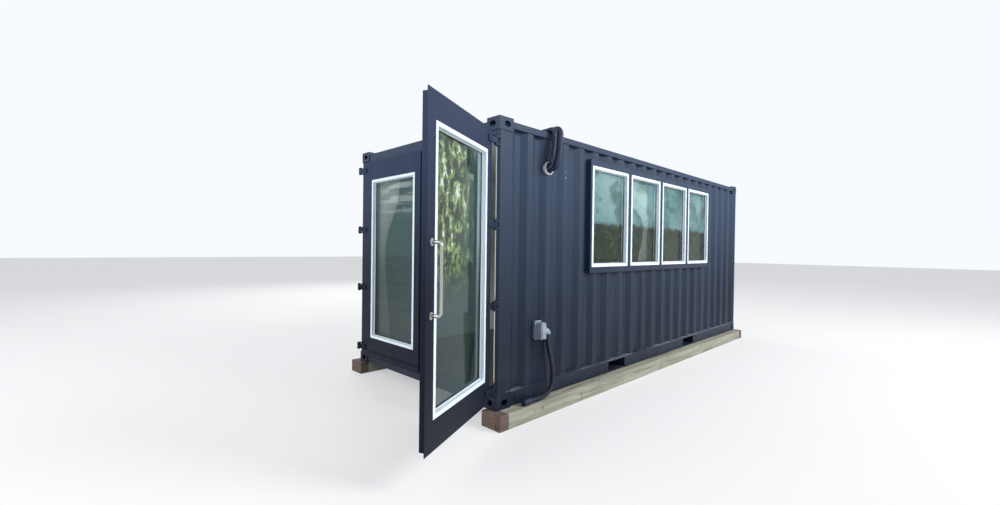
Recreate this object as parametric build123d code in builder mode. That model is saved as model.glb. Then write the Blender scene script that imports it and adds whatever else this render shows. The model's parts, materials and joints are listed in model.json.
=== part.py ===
from build123d import *
import math
import os

os.makedirs("parts", exist_ok=True)

# Cabin made from a 20 ft shipping container, standing on timber bearers.
# Row frame: +X runs along the container from the door end to the far end, the windows face -Y,
# +Z is up, and the origin is on the ground plane under the plan centre. All sizes in millimetres.

# Shell
length = 6058.0
width = 2438.0
height = 2591.0
bearer_height = 138.0
sheet = 2.0
skin_inset = 8.0
fitting_length = 178.0
fitting_width = 162.0
fitting_height = 118.0
fitting_wall = 28.0
fitting_side_wall = 14.0
slot_length = 124.0
slot_width = 63.5
slot_end_inset = 102.5
slot_side_inset = 89.5
side_hole_length = 79.5
side_hole_width = 51.0
post_face = 75.0
post_width = 48.0
post_wall = 6.0
top_rail = 60.0
top_rail_wall = 4.0
top_rail_drop = 27.0
bottom_rail_height = 136.0
bottom_rail_width = 48.0
bottom_rail_wall = 5.0
rail_lift = 12.0
end_rail_depth = 60.0
end_rail_wall = 6.0
roof_drop = 30.0

# Corrugations
side_pitch = 278.0
side_flat = 72.0
side_slope = 68.0
side_depth = 36.0
first_recess = 276.0
end_pitch = 250.0
end_flat = 110.0
end_slope = 18.0
end_depth = 45.0
roof_pitch = 209.0
roof_flat = 91.0
roof_slope = 13.5
roof_depth = 20.0

# Floor and linings
floor_thickness = 18.0
crossmember_width = 45.0
crossmember_wall = 5.0
crossmember_count = 14
pocket_spacing = 2050.0
pocket_width = 360.0
pocket_wall = 6.0
lining = 12.0
lining_gap = 36.0
jamb_overlap = 20.0
ceiling_height = 2300.0

# Timber under the container
bearer_width = 235.0
bearer_overhang = 111.0
block_overhang = 60.0
block_length = 106.0

# Window row
window_count = 4
window_width = 768.0
window_height = 1109.0
window_head_drop = 245.0
window_pitch = 838.0
first_window = 1415.0
surround_margin = 66.0
surround_side = 28.0
surround_proud = 25.0
seat_gap = 0.3

# Window section, the same in the wall and in the doors
frame_face = 32.0
frame_depth = 76.0
frame_proud = 4.0
bead_face = 8.0
bead_set_back = 34.0
glass_set_back = 44.0
glass_thickness = 20.0

# Doorway and doors
door_plane = 10.0
sill_height = 115.0
sill_depth = 140.0
header_height = 131.0
door_overlap = 24.0
door_stand_off = 6.0
door_plate = 4.0
door_body = 38.0
door_clear = 8.0
right_stile = 107.0
left_stile = 99.0
leaf_seam = 7.0
drip_bar_height = 158.0
drip_bar_reach = 12.0
drip_bar_slope = 20.0
stile_set_back = 6.0
plate_hinge_edge = 35.0
body_hinge_edge = 46.0
open_angle = 115.0
leaf_window_width = 905.0
leaf_window_lift = 8.0
right_window_edge = 138.0
right_window_height = 1960.0
left_window_edge = 255.0
left_window_height = 1905.0

# Hinges
pin_inset = 11.0
pin_stand_off = 32.0
pin_radius = 10.0
pin_play = 0.05
eye_radius = 18.0
blade_height = 50.0
blade_thickness = 12.0
blade_margin = 10.0
lug_thickness = 12.0
lug_gap = 2.0
hinge_heights = [195.0, 928.0, 1635.0, 2365.0]

# Pull handle
handle_inset = 61.0
handle_height = 1228.0
handle_spacing = 475.0
handle_stand_off = 75.0
handle_diameter = 25.0
rose_radius = 26.0
rose_thickness = 8.0

# Power inlet with its conduit, wall sleeve, roof pipes and their boot
inlet_foot = 60.0
inlet_width = 76.0
inlet_height = 163.0
inlet_bottom = 571.0
inlet_depth = 82.0
inlet_plate = 8.0
inlet_margin = 8.0
inlet_fillet = 8.0
elbow_radius = 27.0
elbow_reach = 66.0
elbow_height = 640.0
elbow_drop = 50.0
elbow_bend = 30.0
conduit_diameter = 46.0
connector_radius = 29.0
connector_length = 70.0
sleeve_centre = 680.0
sleeve_height = 2216.0
sleeve_radius = 63.0
sleeve_bore = 55.0
sleeve_wall = 4.0
sleeve_proud = 18.0
thin_pipe_diameter = 46.0
thick_pipe_diameter = 60.0
pipe_gap = 1.0
thick_pipe_lead = 24.0
pipe_clear = 4.0
boot_edge = 900.0
boot_size = 150.0
boot_height = 85.0
boot_flange = 15.0

# Curtains behind the glass
rod_radius = 8.0
rod_bracket_radius = 5.0
rod_inset = 10.0
rod_stand_off = 56.0
rod_drop = 30.0
curtain_thickness = 44.0
tie_width = 130.0

inlet_centre = first_recess + side_pitch
half_length = length / 2
half_width = width / 2
slot_x = half_length - slot_end_inset
slot_y = half_width - slot_side_inset
base = bearer_height
top = base + height
skin_y = half_width - skin_inset
floor_z = base + rail_lift + bottom_rail_height
ceiling_z = floor_z + ceiling_height
pocket_low = base + rail_lift
pocket_high = floor_z - floor_thickness
pocket_places = (-pocket_spacing / 2, pocket_spacing / 2)
pocket_half = pocket_width / 2 + pocket_wall
lining_y = skin_y - side_depth - sheet - lining_gap - lining
wall_start = -half_length + fitting_length
wall_end = half_length - fitting_length
panel_start = -half_length + post_face
panel_end = half_length - post_face
post_low = base + fitting_height
post_high = top - fitting_height
rail_top = top - top_rail_drop
rail_under = rail_top - top_rail
surround_y = skin_y + surround_proud
surround_start = first_window - surround_side - half_length
surround_end = (first_window + window_pitch * (window_count - 1) + window_width + surround_side
                - half_length)
pin_x = -half_length - pin_stand_off
pin_y = half_width - pin_inset
right_plate_edge = right_window_edge + leaf_window_width + right_stile
left_plate_edge = 2 * pin_y - right_plate_edge - leaf_seam
left_window_width = left_plate_edge - left_window_edge - left_stile
window_head = top - window_head_drop
window_foot = window_head - window_height
surround_low = window_foot - surround_margin
surround_high = window_head + surround_margin


def block(low, high, mode=Mode.ADD):
    """A square-cornered block between two opposite corners."""
    low = Vector(*low)
    high = Vector(*high)
    size = high - low
    with Locations((low + high) / 2):
        Box(size.X, size.Y, size.Z, mode=mode)


def finish(part, name):
    """Names a finished piece and writes it."""
    part.part.label = name
    export_step(part.part, f"parts/{name}.step")


def wave(start, end, centre, pitch, flat, slope, depth):
    """The run of a corrugated sheet from start to end, as (place, depth) pairs."""
    points = [(start, 0.0)]
    recess = pitch - flat - 2 * slope
    count = math.floor((start - centre) / pitch)
    while True:
        middle = centre + count * pitch
        count += 1
        if middle - recess / 2 - slope < start:
            continue
        if middle + recess / 2 + slope > end:
            break
        points.append((middle - recess / 2 - slope, 0.0))
        points.append((middle - recess / 2, depth))
        points.append((middle + recess / 2, depth))
        points.append((middle + recess / 2 + slope, 0.0))
    points.append((end, 0.0))
    return points


def cut_wave(points, start, end):
    """The same run of sheet, cut off at two places along it."""
    kept = []
    for (a, da), (b, db) in zip(points[:-1], points[1:]):
        if b <= start or a >= end:
            continue
        first = max(a, start)
        last = min(b, end)
        slope = (db - da) / (b - a) if b > a else 0.0
        if not kept:
            kept.append((first, da + slope * (first - a)))
        kept.append((last, da + slope * (last - a)))
    return kept


def sheet_outline(points, thickness):
    """The section of a corrugated sheet: its outer line, then the same line set back."""
    return points + [(place, depth + thickness) for place, depth in reversed(points)]


side_run = wave(panel_start, panel_end, first_recess - half_length, side_pitch, side_flat,
                side_slope, side_depth)


def side_wall(name, facing, start, end, low, high, hole=None):
    """A stretch of corrugated side wall; facing is -1 on the window side, +1 on the other.

    Beside the posts the sheet runs between the corner castings, elsewhere from low to high.
    """
    stretches = [(max(start, wall_start), min(end, wall_end), low, high)]
    if start < wall_start:
        stretches.append((start, wall_start, post_low, post_high))
    if end > wall_end:
        stretches.append((wall_end, end, post_low, post_high))
    with BuildPart() as wall:
        for first, last, foot, head in stretches:
            plane = Plane(origin=(0, facing * skin_y, foot), x_dir=(1, 0, 0), z_dir=(0, 0, 1))
            turned = [(place, -facing * depth) for place, depth in cut_wave(side_run, first, last)]
            with BuildSketch(plane):
                with BuildLine():
                    Polyline(*sheet_outline(turned, -facing * sheet), close=True)
                make_face()
            extrude(amount=head - foot)
        if hole:
            with BuildSketch(hole):
                Circle(sleeve_bore + sleeve_wall + seat_gap)
            extrude(amount=-(side_depth + sheet), mode=Mode.SUBTRACT)
    finish(wall, name)


def windows(planes, wide, high, frame_name, glass_name):
    """Fixed windows: stepped frames with a glazing bead, and a sealed pane behind each bead.

    Each plane's origin is a window's centre on the face that carries it, its z_dir points out.
    """
    inner = (wide - 2 * frame_face, high - 2 * frame_face)
    with BuildPart() as frames:
        for plane in planes:
            with BuildSketch(plane.offset(frame_proud)):
                Rectangle(wide, high)
                Rectangle(*inner, mode=Mode.SUBTRACT)
            extrude(amount=-frame_depth)
            with BuildSketch(plane.offset(frame_proud - bead_set_back)):
                Rectangle(*inner)
                Rectangle(inner[0] - 2 * bead_face, inner[1] - 2 * bead_face, mode=Mode.SUBTRACT)
            extrude(amount=-(glass_set_back - bead_set_back))
    with BuildPart() as panes:
        for plane in planes:
            with BuildSketch(plane.offset(frame_proud - glass_set_back - seat_gap)):
                Rectangle(inner[0] - 2 * seat_gap, inner[1] - 2 * seat_gap)
            extrude(amount=-glass_thickness)
    finish(frames, frame_name)
    finish(panes, glass_name)


# Timber bearers: one under each long side, standing proud of the wall
bearer_outer = half_width + bearer_overhang
bearer_inner = bearer_outer - bearer_width
bearer_end = half_length - block_length + block_overhang
with BuildPart() as bearers:
    block((-bearer_end, -bearer_outer, 0), (bearer_end, -bearer_inner, base))
    block((-bearer_end, bearer_inner, 0), (bearer_end, bearer_outer, base))
finish(bearers, "bearers")

# Corner blocks: short timber ends under the four corners
with BuildPart() as corner_blocks:
    for x_side in (-1, 1):
        for y_side in (-1, 1):
            with Locations((x_side * (bearer_end + block_length / 2),
                            y_side * (bearer_inner + bearer_outer) / 2, base / 2)):
                Box(block_length, bearer_width, base)
finish(corner_blocks, "corner_blocks")


def corner_fittings(name, low, slot_face):
    """Four hollow corner castings: a slot in the top or bottom, a hole in the end and the side."""
    with BuildPart() as fittings:
        for x_side in (-1, 1):
            for y_side in (-1, 1):
                centre = (x_side * (half_length - fitting_length / 2),
                          y_side * (half_width - fitting_width / 2), low + fitting_height / 2)
                with Locations(centre):
                    Box(fitting_length, fitting_width, fitting_height)
                    Box(fitting_length - 2 * fitting_side_wall, fitting_width - 2 * fitting_side_wall,
                        fitting_height - 2 * fitting_wall, mode=Mode.SUBTRACT)
                slot_plane = Plane(origin=(x_side * slot_x, y_side * slot_y,
                                           slot_face), z_dir=(0, 0, 1))
                with BuildSketch(slot_plane):
                    SlotOverall(slot_length, slot_width)
                extrude(amount=fitting_wall, both=True, mode=Mode.SUBTRACT)
                side_plane = Plane(origin=(x_side * slot_x, y_side * half_width, centre[2]),
                                   x_dir=(1, 0, 0), z_dir=(0, y_side, 0))
                with BuildSketch(side_plane):
                    SlotOverall(side_hole_length, side_hole_width)
                extrude(amount=-fitting_side_wall, mode=Mode.SUBTRACT)
                end_plane = Plane(origin=(x_side * half_length, y_side * slot_y, centre[2]),
                                  x_dir=(0, 1, 0), z_dir=(x_side, 0, 0))
                with BuildSketch(end_plane):
                    SlotOverall(side_hole_length, side_hole_width)
                extrude(amount=-fitting_side_wall, mode=Mode.SUBTRACT)
    finish(fittings, name)


corner_fittings("bottom_corner_fittings", base, base)
corner_fittings("top_corner_fittings", top - fitting_height, top)

# Corner posts: box sections between the castings
post_depth = post_face - door_plane
post_x = half_length - door_plane - post_depth / 2
post_y = half_width - post_width / 2
for name, x_side in (("door_posts", -1), ("end_posts", 1)):
    with BuildPart() as posts:
        with BuildSketch(Plane.XY.offset(post_low)):
            with Locations((x_side * post_x, -post_y), (x_side * post_x, post_y)):
                Rectangle(post_depth, post_width)
                Rectangle(post_depth - 2 * post_wall, post_width - 2 * post_wall, mode=Mode.SUBTRACT)
        extrude(amount=post_high - post_low)
    finish(posts, name)

# Door header: a box section between the top castings, with a lower strip between the posts
header_low = top - roof_drop - header_height
opening_half = half_width - post_width
casting_half = half_width - fitting_width
header_start = -half_length + door_plane
with BuildPart() as door_header:
    block((header_start, -opening_half, header_low), (header_start + end_rail_depth, opening_half, post_high))
    block((header_start, -casting_half, post_high), (header_start + end_rail_depth, casting_half, top - roof_drop))
    block((header_start + end_rail_wall, -casting_half, header_low + end_rail_wall),
          (header_start + end_rail_depth - end_rail_wall, casting_half, top - roof_drop - end_rail_wall),
          mode=Mode.SUBTRACT)
finish(door_header, "door_header")

# Door sill: stepped, so that the doors close against its front and the floor starts behind it
sill_top = base + sill_height
leaf_window_z = (sill_top + header_low) / 2 + leaf_window_lift
body_back = -half_length - door_stand_off + door_body
with BuildPart() as door_sill:
    with BuildSketch(Plane.XZ):
        with BuildLine():
            Polyline((header_start, base + rail_lift), (header_start + sill_depth, base + rail_lift),
                     (header_start + sill_depth, floor_z), (body_back + door_clear, floor_z),
                     (body_back + door_clear, sill_top), (header_start, sill_top), close=True)
        make_face()
        offset(amount=-end_rail_wall, kind=Kind.INTERSECTION, mode=Mode.SUBTRACT)
    extrude(amount=casting_half, both=True)
finish(door_sill, "door_sill")

# End rails at the far end: box sections between the castings
for name, low, high in (("end_rail_top", post_high, rail_top), ("end_rail_bottom", base + rail_lift, post_low)):
    with BuildPart() as end_rail:
        with BuildSketch(Plane.XZ):
            with Locations((half_length - door_plane - end_rail_depth / 2, (low + high) / 2)):
                Rectangle(end_rail_depth, high - low)
                Rectangle(end_rail_depth - 2 * end_rail_wall, high - low - 2 * end_rail_wall, mode=Mode.SUBTRACT)
        extrude(amount=casting_half, both=True)
    finish(end_rail, name)

# Side rails: square tube at the top, channel open inwards at the bottom
top_rail_y = half_width - top_rail / 2
bottom_rail_y = half_width - bottom_rail_width / 2
rail_section = Plane(origin=(wall_start, 0, 0), x_dir=(0, 1, 0), z_dir=(1, 0, 0))
with BuildPart() as top_rails:
    with BuildSketch(rail_section):
        with Locations((-top_rail_y, rail_top - top_rail / 2), (top_rail_y, rail_top - top_rail / 2)):
            Rectangle(top_rail, top_rail)
            Rectangle(top_rail - 2 * top_rail_wall, top_rail - 2 * top_rail_wall, mode=Mode.SUBTRACT)
    extrude(amount=wall_end - wall_start)
finish(top_rails, "top_rails")
with BuildPart() as bottom_rails:
    with BuildSketch(rail_section):
        for facing in (-1, 1):
            with Locations((facing * bottom_rail_y, floor_z - bottom_rail_height / 2)):
                Rectangle(bottom_rail_width, bottom_rail_height)
                with Locations((-facing * bottom_rail_wall, 0)):
                    Rectangle(bottom_rail_width, bottom_rail_height - 2 * bottom_rail_wall,
                              mode=Mode.SUBTRACT)
    extrude(amount=wall_end - wall_start)
    for middle in pocket_places:
        block((middle - pocket_half, -half_width, pocket_low), (middle + pocket_half, half_width, pocket_high),
              mode=Mode.SUBTRACT)
finish(bottom_rails, "bottom_rails")

# Side walls: the window side is split round the window surround, and the duct sleeve goes through it
sleeve_face = Plane(origin=(sleeve_centre - half_length, -skin_y, base + sleeve_height), x_dir=(1, 0, 0),
                    z_dir=(0, -1, 0))
sleeve_through = skin_y - lining_y
side_wall("wall_right_door_end", -1, panel_start, surround_start, floor_z, rail_under, sleeve_face)
side_wall("wall_right_below_windows", -1, surround_start, surround_end, floor_z, surround_low)
side_wall("wall_right_above_windows", -1, surround_start, surround_end, surround_high, rail_under)
side_wall("wall_right_far_end", -1, surround_end, panel_end, floor_z, rail_under)
side_wall("wall_left", 1, panel_start, panel_end, floor_z, rail_under)

# Far end wall: deeper corrugations, between the far posts
end_plane = Plane(origin=(half_length - door_plane, 0, post_low), x_dir=(0, 1, 0), z_dir=(0, 0, 1))
with BuildPart() as wall_far_end:
    with BuildSketch(end_plane):
        with BuildLine():
            Polyline(*sheet_outline(wave(-opening_half, opening_half, 0, end_pitch, end_flat, end_slope,
                                         end_depth), sheet), close=True)
        make_face()
    extrude(amount=post_high - post_low)
finish(wall_far_end, "wall_far_end")

# Roof: cross corrugated sheet between the top rails, flat plates between the castings
rail_inner = half_width - top_rail
roof_z = top - roof_drop
with BuildPart() as roof_panel:
    with BuildSketch(Plane(origin=(0, 0, roof_z), x_dir=(1, 0, 0), z_dir=(0, -1, 0))):
        run = wave(wall_start, wall_end, 0, roof_pitch, roof_flat, roof_slope, roof_depth)
        with BuildLine():
            Polyline(*sheet_outline([(place, -depth) for place, depth in run], -sheet), close=True)
        make_face()
    extrude(amount=rail_inner, both=True)
finish(roof_panel, "roof_panel")
with BuildPart() as roof_end_plates:
    block((header_start + end_rail_depth, -casting_half, roof_z - sheet), (wall_start, casting_half, roof_z))
    block((wall_end, -casting_half, roof_z - sheet),
          (half_length - door_plane - end_rail_depth, casting_half, roof_z))
finish(roof_end_plates, "roof_end_plates")

# Fork pockets: two box tunnels for the tines of a lift truck, across the container between the rails
with BuildPart() as fork_pockets:
    with BuildSketch(Plane.XZ):
        with Locations(*[(middle, (pocket_low + pocket_high) / 2) for middle in pocket_places]):
            Rectangle(2 * pocket_half, pocket_high - pocket_low)
            Rectangle(pocket_width, pocket_high - pocket_low - 2 * pocket_wall, mode=Mode.SUBTRACT)
    extrude(amount=half_width, both=True)
finish(fork_pockets, "fork_pockets")

# Floor: boards over channel crossmembers
floor_start = header_start + sill_depth
floor_end = half_length - door_plane - end_depth - sheet
with BuildPart() as floor_boards:
    block((floor_start, -(half_width - bottom_rail_width), floor_z - floor_thickness),
          (floor_end, half_width - bottom_rail_width, floor_z))
finish(floor_boards, "floor_boards")
crossmember_low = base + rail_lift + bottom_rail_wall
crossmember_high = floor_z - floor_thickness
crossmember_half = half_width - bottom_rail_wall
crossmember_step = (wall_end - wall_start - crossmember_width) / (crossmember_count - 1)
with BuildPart() as floor_crossmembers:
    for number in range(crossmember_count):
        middle = wall_start + crossmember_width / 2 + number * crossmember_step
        if abs(abs(middle) - pocket_spacing / 2) < pocket_half + crossmember_width:
            continue
        with BuildSketch(Plane(origin=(middle, 0, (crossmember_low + crossmember_high) / 2),
                               x_dir=(1, 0, 0), z_dir=(0, -1, 0))):
            tall = crossmember_high - crossmember_low
            Rectangle(crossmember_width, tall)
            with Locations((crossmember_wall, 0)):
                Rectangle(crossmember_width, tall - 2 * crossmember_wall, mode=Mode.SUBTRACT)
        extrude(amount=crossmember_half, both=True)
finish(floor_crossmembers, "floor_crossmembers")

# Linings: pale boards inside the walls and under the roof
lining_start = panel_start + lining
lining_end = floor_end - lining_gap
with BuildPart() as lining_right:
    block((lining_start, -lining_y - lining, floor_z), (lining_end, -lining_y, ceiling_z))
    block((surround_start - seat_gap, -lining_y - lining, surround_low - seat_gap),
          (surround_end + seat_gap, -lining_y, surround_high + seat_gap), mode=Mode.SUBTRACT)
    with BuildSketch(sleeve_face.offset(-sleeve_through)):
        Circle(sleeve_bore + sleeve_wall + seat_gap)
    extrude(amount=lining, mode=Mode.SUBTRACT)
finish(lining_right, "lining_right")
with BuildPart() as lining_left:
    block((lining_start, lining_y, floor_z), (lining_end, lining_y + lining, ceiling_z))
finish(lining_left, "lining_left")
with BuildPart() as door_jambs:
    jamb_width = opening_half + jamb_overlap - lining_y
    for facing in (-1, 1):
        with Locations((panel_start + lining / 2, facing * (lining_y + jamb_width / 2), (floor_z + ceiling_z) / 2)):
            Box(lining, jamb_width, ceiling_z - floor_z)
finish(door_jambs, "door_jambs")
with BuildPart() as lining_far_end:
    block((lining_end - lining, -lining_y, floor_z), (lining_end, lining_y, ceiling_z))
finish(lining_far_end, "lining_far_end")
with BuildPart() as ceiling:
    block((lining_start, -lining_y - lining, ceiling_z), (lining_end, lining_y + lining, ceiling_z + lining))
finish(ceiling, "ceiling")

# Window surround: a welded steel frame through the wall, with posts between the windows
surround_back = lining_y
with BuildPart() as window_surround:
    block((surround_start, -surround_y, surround_low), (surround_end, -surround_back, surround_high))
    for number in range(window_count):
        left = first_window + number * window_pitch - half_length
        block((left - seat_gap, -surround_y, window_foot - seat_gap),
              (left + window_width + seat_gap, -surround_back, window_head + seat_gap),
              mode=Mode.SUBTRACT)
finish(window_surround, "window_surround")

window_z = (window_foot + window_head) / 2
window_planes = [Plane(origin=(first_window + number * window_pitch - half_length + window_width / 2,
                               -surround_y, window_z), x_dir=(1, 0, 0), z_dir=(0, -1, 0))
                 for number in range(window_count)]
windows(window_planes, window_width, window_height, "window_frames", "window_glass")

# Hinges on the posts: two lugs and a fixed pin at each height
lug_rise = blade_height / 2 + lug_gap
for name, y_side in (("hinge_lugs_right", -1), ("hinge_lugs_left", 1)):
    lug_plane = Plane(origin=(pin_x, y_side * pin_y, 0), x_dir=(1, 0, 0), z_dir=(0, 0, 1))
    with BuildPart() as lugs:
        for hinge in hinge_heights:
            middle = base + hinge
            for low in (middle - lug_rise - lug_thickness, middle + lug_rise):
                with BuildSketch(lug_plane.offset(low)):
                    Circle(eye_radius)
                    with Locations(((pin_stand_off + door_plane) / 2, 0)):
                        Rectangle(pin_stand_off + door_plane, 2 * eye_radius)
                extrude(amount=lug_thickness)
            with BuildSketch(lug_plane.offset(middle - lug_rise - lug_thickness)):
                Circle(pin_radius)
            extrude(amount=2 * (lug_rise + lug_thickness))
    finish(lugs, name)


def door_leaf(side, hinge_side, angle, plate_edge, window_edge, window_wide, window_high):
    """A steel door leaf about its pin: plate, box frame behind it, hinge blades and a tall window.

    Across the leaf, r is measured from the pin to the free edge and w is outwards from the pin.
    """
    swing = math.radians(angle)
    along = Vector(-math.sin(swing), -hinge_side * math.cos(swing), 0)
    out = Vector(-math.cos(swing), hinge_side * math.sin(swing), 0)
    pin = Vector(pin_x, hinge_side * pin_y, 0)
    face_w = -(pin_stand_off - door_stand_off - door_plate)
    plate_low = sill_top - door_overlap
    plate_high = header_low + door_overlap
    body_low = sill_top + door_clear
    body_high = header_low - door_clear
    window_centre = (window_edge + window_wide / 2, leaf_window_z)
    hole = (window_wide + 2 * seat_gap, window_high + 2 * seat_gap)

    face = Plane(origin=pin + out * face_w, x_dir=Vector(0, 0, 1).cross(out), z_dir=out)
    turn = 1 if face.x_dir.dot(along) > 0 else -1
    with BuildPart() as leaf:
        with BuildSketch(face):
            with Locations((turn * (plate_hinge_edge + plate_edge) / 2, (plate_low + plate_high) / 2)):
                Rectangle(plate_edge - plate_hinge_edge, plate_high - plate_low)
            with Locations((turn * window_centre[0], window_centre[1])):
                Rectangle(*hole, mode=Mode.SUBTRACT)
        extrude(amount=-door_plate)
        body_edge = plate_edge - stile_set_back
        with BuildSketch(face.offset(-door_plate)):
            with Locations((turn * (body_hinge_edge + body_edge) / 2, (body_low + body_high) / 2)):
                Rectangle(body_edge - body_hinge_edge, body_high - body_low)
            with Locations((turn * window_centre[0], window_centre[1])):
                Rectangle(*hole, mode=Mode.SUBTRACT)
        extrude(amount=-door_body)
        if side == "left":
            with BuildSketch(face):
                with Locations((turn * (body_hinge_edge + body_edge) / 2, base + drip_bar_height)):
                    Rectangle(body_edge - body_hinge_edge, drip_bar_reach)
            extrude(amount=drip_bar_reach, taper=drip_bar_slope)
    finish(leaf, f"{side}_leaf_panel")

    window_plane = Plane(origin=face.from_local_coords((turn * window_centre[0], window_centre[1], 0)),
                         x_dir=face.x_dir, z_dir=out)
    windows([window_plane], window_wide, window_high, f"{side}_leaf_window_frame",
            f"{side}_leaf_glass")

    blade_reach = min(right_window_edge, left_window_edge) - blade_margin
    blade_plane = Plane(origin=pin, x_dir=along, z_dir=(0, 0, 1))
    out_sign = 1 if blade_plane.y_dir.dot(out) > 0 else -1
    with BuildPart() as blades:
        for hinge in hinge_heights:
            with BuildSketch(blade_plane.offset(base + hinge - blade_height / 2)):
                with Locations((plate_hinge_edge + blade_thickness,
                                out_sign * (face_w + blade_thickness / 2))):
                    Rectangle(blade_thickness, blade_thickness)
                Circle(eye_radius)
                make_hull()
                with Locations(((plate_hinge_edge + blade_reach) / 2,
                                out_sign * (face_w + blade_thickness / 2))):
                    Rectangle(blade_reach - plate_hinge_edge, blade_thickness)
                Circle(pin_radius + pin_play, mode=Mode.SUBTRACT)
            extrude(amount=blade_height)
    finish(blades, f"{side}_leaf_hinges")
    return face, turn


right_face, right_turn = door_leaf("right", -1, open_angle, right_plate_edge,
                                   right_window_edge, leaf_window_width, right_window_height)
left_face, left_turn = door_leaf("left", 1, 0.0, left_plate_edge,
                                 left_window_edge, left_window_width, left_window_height)

# Pull handle: a bent tube on two round roses, on the outer face of the open leaf
handle_r = right_turn * (right_plate_edge - handle_inset)
bend = handle_diameter
with BuildPart() as pull_handle:
    for rise in (-handle_spacing / 2, handle_spacing / 2):
        foot = Plane(origin=right_face.from_local_coords((handle_r, base + handle_height + rise, 0)),
                     x_dir=right_face.x_dir, z_dir=right_face.z_dir)
        with BuildSketch(foot):
            Circle(rose_radius)
        extrude(amount=rose_thickness)
    side = Plane(origin=right_face.from_local_coords((handle_r, base + handle_height, 0)),
                 x_dir=right_face.y_dir, z_dir=right_face.x_dir)
    reach = side.to_local_coords(side.origin + right_face.z_dir * handle_stand_off).Y
    with BuildLine(side) as handle_line:
        FilletPolyline((-handle_spacing / 2, 0), (-handle_spacing / 2, reach), (handle_spacing / 2, reach),
                       (handle_spacing / 2, 0), radius=bend)
    with BuildSketch(foot):
        Circle(handle_diameter / 2)
    sweep(path=handle_line.wires()[0])
finish(pull_handle, "pull_handle")
# Power inlet: a weatherproof box with a domed top, on a foot that reaches into a recess of the wall,
# with an elbow for the conduit at its side
inlet_x = inlet_centre - half_length
inlet_face = Plane(origin=(inlet_x, -skin_y, base + inlet_bottom), x_dir=(1, 0, 0), z_dir=(0, -1, 0))
elbow_x = inlet_centre + inlet_width / 2 + elbow_reach
elbow_out = skin_y + inlet_depth / 2
with BuildPart() as power_inlet:
    with BuildSketch(inlet_face):
        with Locations((0, inlet_height / 2)):
            RectangleRounded(inlet_width + 2 * inlet_margin, inlet_height + 2 * inlet_margin, inlet_margin)
    extrude(amount=inlet_plate)
    with BuildSketch(inlet_face):
        with Locations((0, inlet_height / 2)):
            Rectangle(inlet_foot, inlet_height)
    extrude(amount=-side_depth)
    with BuildSketch(inlet_face.offset(inlet_plate)):
        with BuildLine():
            shoulder = inlet_height - inlet_width / 2
            Polyline((inlet_width / 2, shoulder), (inlet_width / 2, 0), (-inlet_width / 2, 0),
                     (-inlet_width / 2, shoulder))
            ThreePointArc((-inlet_width / 2, shoulder), (0, inlet_height), (inlet_width / 2, shoulder))
        make_face()
    extrude(amount=inlet_depth - inlet_plate)
    fillet(power_inlet.faces().sort_by(Axis.Y)[0].edges(), radius=inlet_fillet)
    with BuildLine(Plane(origin=(-half_length, -elbow_out, base), x_dir=(1, 0, 0), z_dir=(0, -1, 0))) as elbow:
        FilletPolyline((inlet_centre, elbow_height), (elbow_x, elbow_height),
                       (elbow_x, elbow_height - elbow_drop), radius=elbow_bend)
    with BuildSketch(Plane(origin=elbow.wires()[0] @ 0, z_dir=(1, 0, 0))):
        Circle(elbow_radius)
    sweep(path=elbow.wires()[0])
finish(power_inlet, "power_inlet")


def tube_part(points, radii, diameter):
    """A round tube along straight runs joined by tangent arcs."""
    with BuildPart() as tube:
        with BuildLine() as line:
            FilletPolyline(*points, radius=radii)
        wire = line.wires()[0]
        with BuildSketch(Plane(origin=wire @ 0, z_dir=wire % 0)):
            Circle(diameter / 2)
        sweep(path=wire)
    return tube, wire


def route_radii(points):
    """The arc at each corner: 0.45 of its shorter run, over the tangent of half the turn."""
    radii = []
    for before, corner, after in zip(points[:-2], points[1:-1], points[2:]):
        run_in = corner - before
        run_out = after - corner
        half_turn = math.radians(run_in.get_angle(run_out)) / 2
        radii.append(0.45 * min(run_in.length, run_out.length) / math.tan(half_turn))
    return radii


# Conduit: a flexible dark hose from the inlet's elbow down the wall to a connector on the bearer.
# Points: along the container from the door end, out from its centre line, up from the casting bottoms.
conduit_route = [(elbow_x, elbow_out, elbow_height - elbow_drop), (elbow_x, elbow_out, 525), (676, 1261, 440),
                 (700, 1267, 350), (716, 1272, 265), (716, 1277, 180), (694, 1282, 105), (640, 1287, 54),
                 (555, 1291, connector_radius), (450, 1292, connector_radius), (350, 1290, connector_radius)]
conduit_points = [Vector(along - half_length, -out, base + up) for along, out, up in conduit_route]
conduit_radii = route_radii(conduit_points)
conduit, conduit_wire = tube_part(conduit_points, conduit_radii, conduit_diameter)
print("conduit length", round(conduit_wire.length), "radii", [round(r) for r in conduit_radii])
finish(conduit, "conduit")
connector_axis = conduit_wire % 1
with BuildPart() as conduit_connector:
    with BuildSketch(Plane(origin=conduit_wire @ 1, z_dir=connector_axis)):
        Circle(connector_radius)
    extrude(amount=connector_length)
finish(conduit_connector, "conduit_connector")

# Wall sleeve: a white ringed duct sleeve through the wall, closed at its inner end
with BuildPart() as wall_sleeve:
    with BuildSketch(sleeve_face):
        Circle(sleeve_radius)
        Circle(sleeve_bore, mode=Mode.SUBTRACT)
    extrude(amount=sleeve_proud)
    with BuildSketch(sleeve_face):
        Circle(sleeve_bore + sleeve_wall)
        Circle(sleeve_bore, mode=Mode.SUBTRACT)
    extrude(amount=-sleeve_through)
    with BuildSketch(sleeve_face.offset(-sleeve_through)):
        Circle(sleeve_bore)
    extrude(amount=sleeve_wall)
finish(wall_sleeve, "wall_sleeve")

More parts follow.
